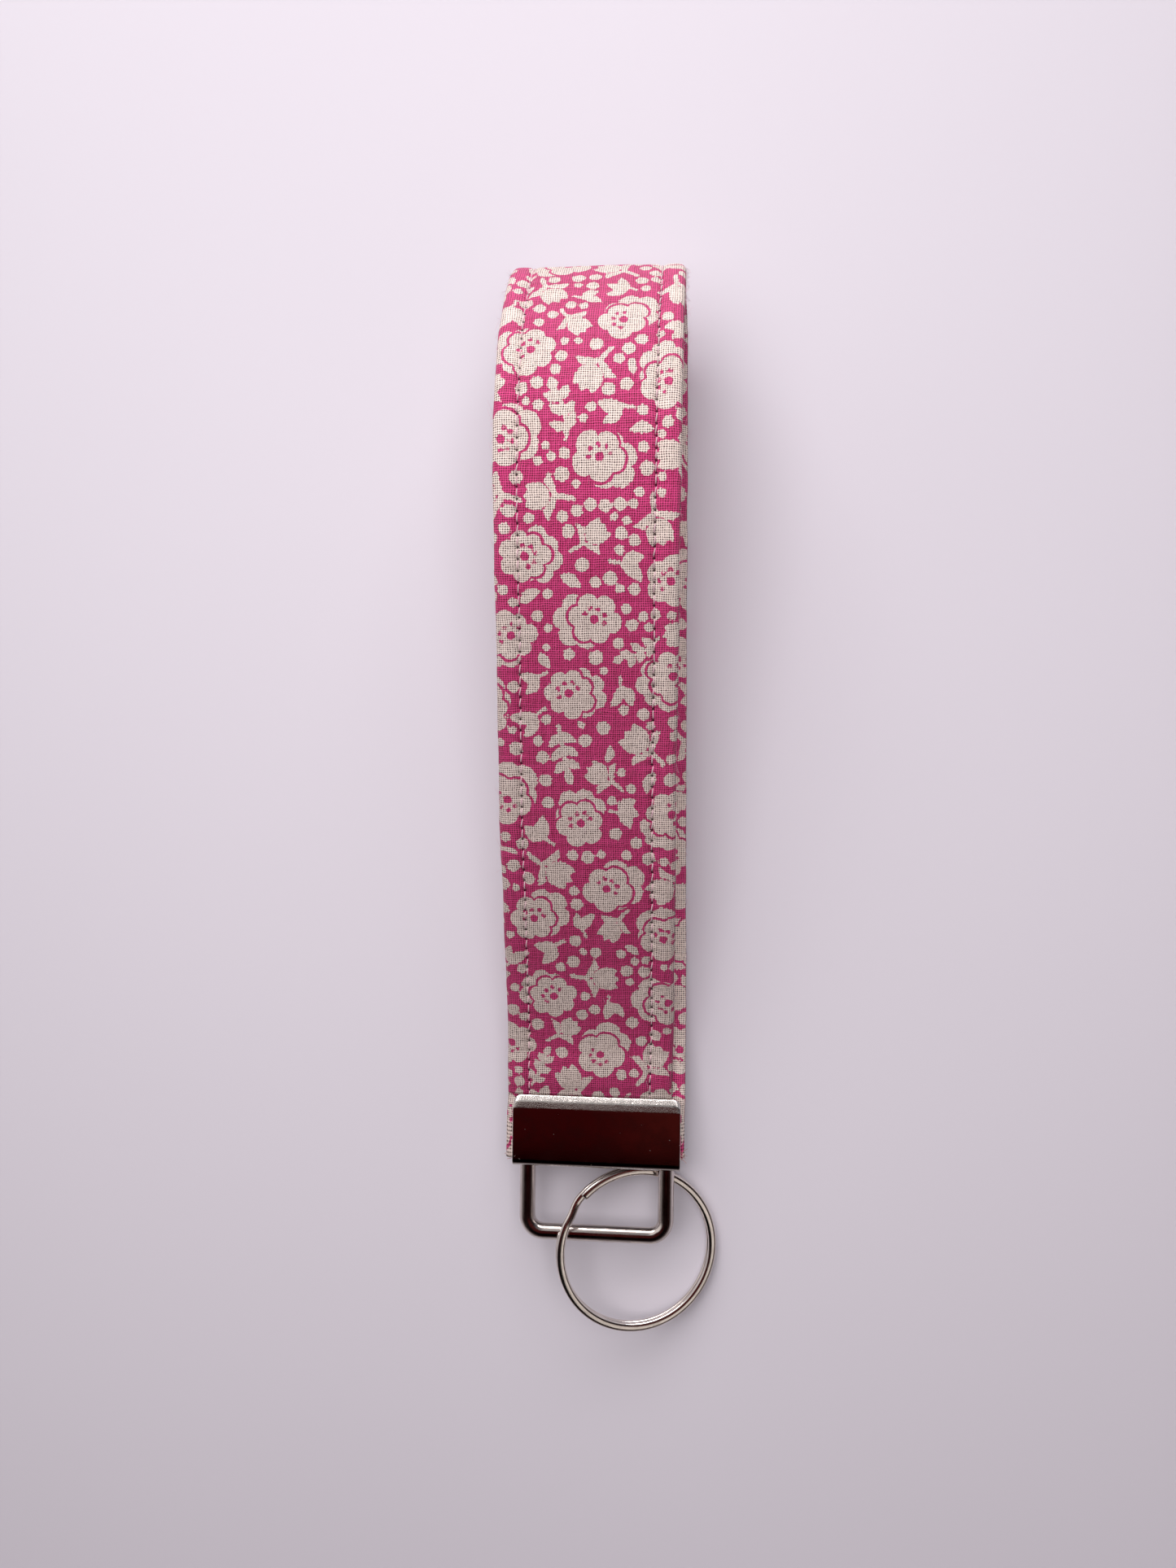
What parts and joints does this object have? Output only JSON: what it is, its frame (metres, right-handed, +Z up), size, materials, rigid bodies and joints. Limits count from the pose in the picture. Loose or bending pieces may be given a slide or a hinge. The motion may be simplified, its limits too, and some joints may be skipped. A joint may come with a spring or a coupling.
{
  "type": "wristlet keychain",
  "caption": "Padded printed-fabric wrist strap folded into a loop, held in a metal crimp clamp with a swinging wire loop and a split key ring.",
  "frame": {"origin": "centre of the flat stretch of the strap's lower run, on the surface that the object lies on", "axes": "+Z up, +Y along the strap from the metal end towards the fold, +X across the strap"},
  "size_m": [0.0396, 0.2024, 0.0397],
  "materials": {
    "printed_cotton": "plain-weave cotton, cream flowers on deep pink",
    "fleece": "soft needled fleece",
    "stitch_thread": "polyester sewing thread",
    "nickel_plate": "nickel-plated steel sheet, bright with fine scratches",
    "nickel_wire": "nickel-plated steel wire, bright",
    "nickel_ring": "nickel-plated spring steel, bright"
  },
  "bodies": {
    "strap": {"strap_cover": "printed_cotton", "strap_core": "fleece", "left_needle_thread": "stitch_thread", "left_bobbin_thread": "stitch_thread", "right_needle_thread": "stitch_thread", "right_bobbin_thread": "stitch_thread", "crimp_clamp": "nickel_plate"},
    "wire_loop": {"wire_loop": "nickel_wire"},
    "split_ring": {"split_ring": "nickel_ring"}
  },
  "joints": [
    {"name": "wire_loop_swing", "type": "hinge", "parent": "strap", "child": "wire_loop", "pos_m": [0, -0.107, 0.0072], "axis": [1, 0, 0], "range_deg": [-15, 10]},
    {"name": "split_ring_swing", "type": "hinge", "parent": "wire_loop", "child": "split_ring", "pos_m": [0, -0.123, 0.0072], "axis": [1, 0, 0], "range_deg": [-150, 0]}
  ]
}
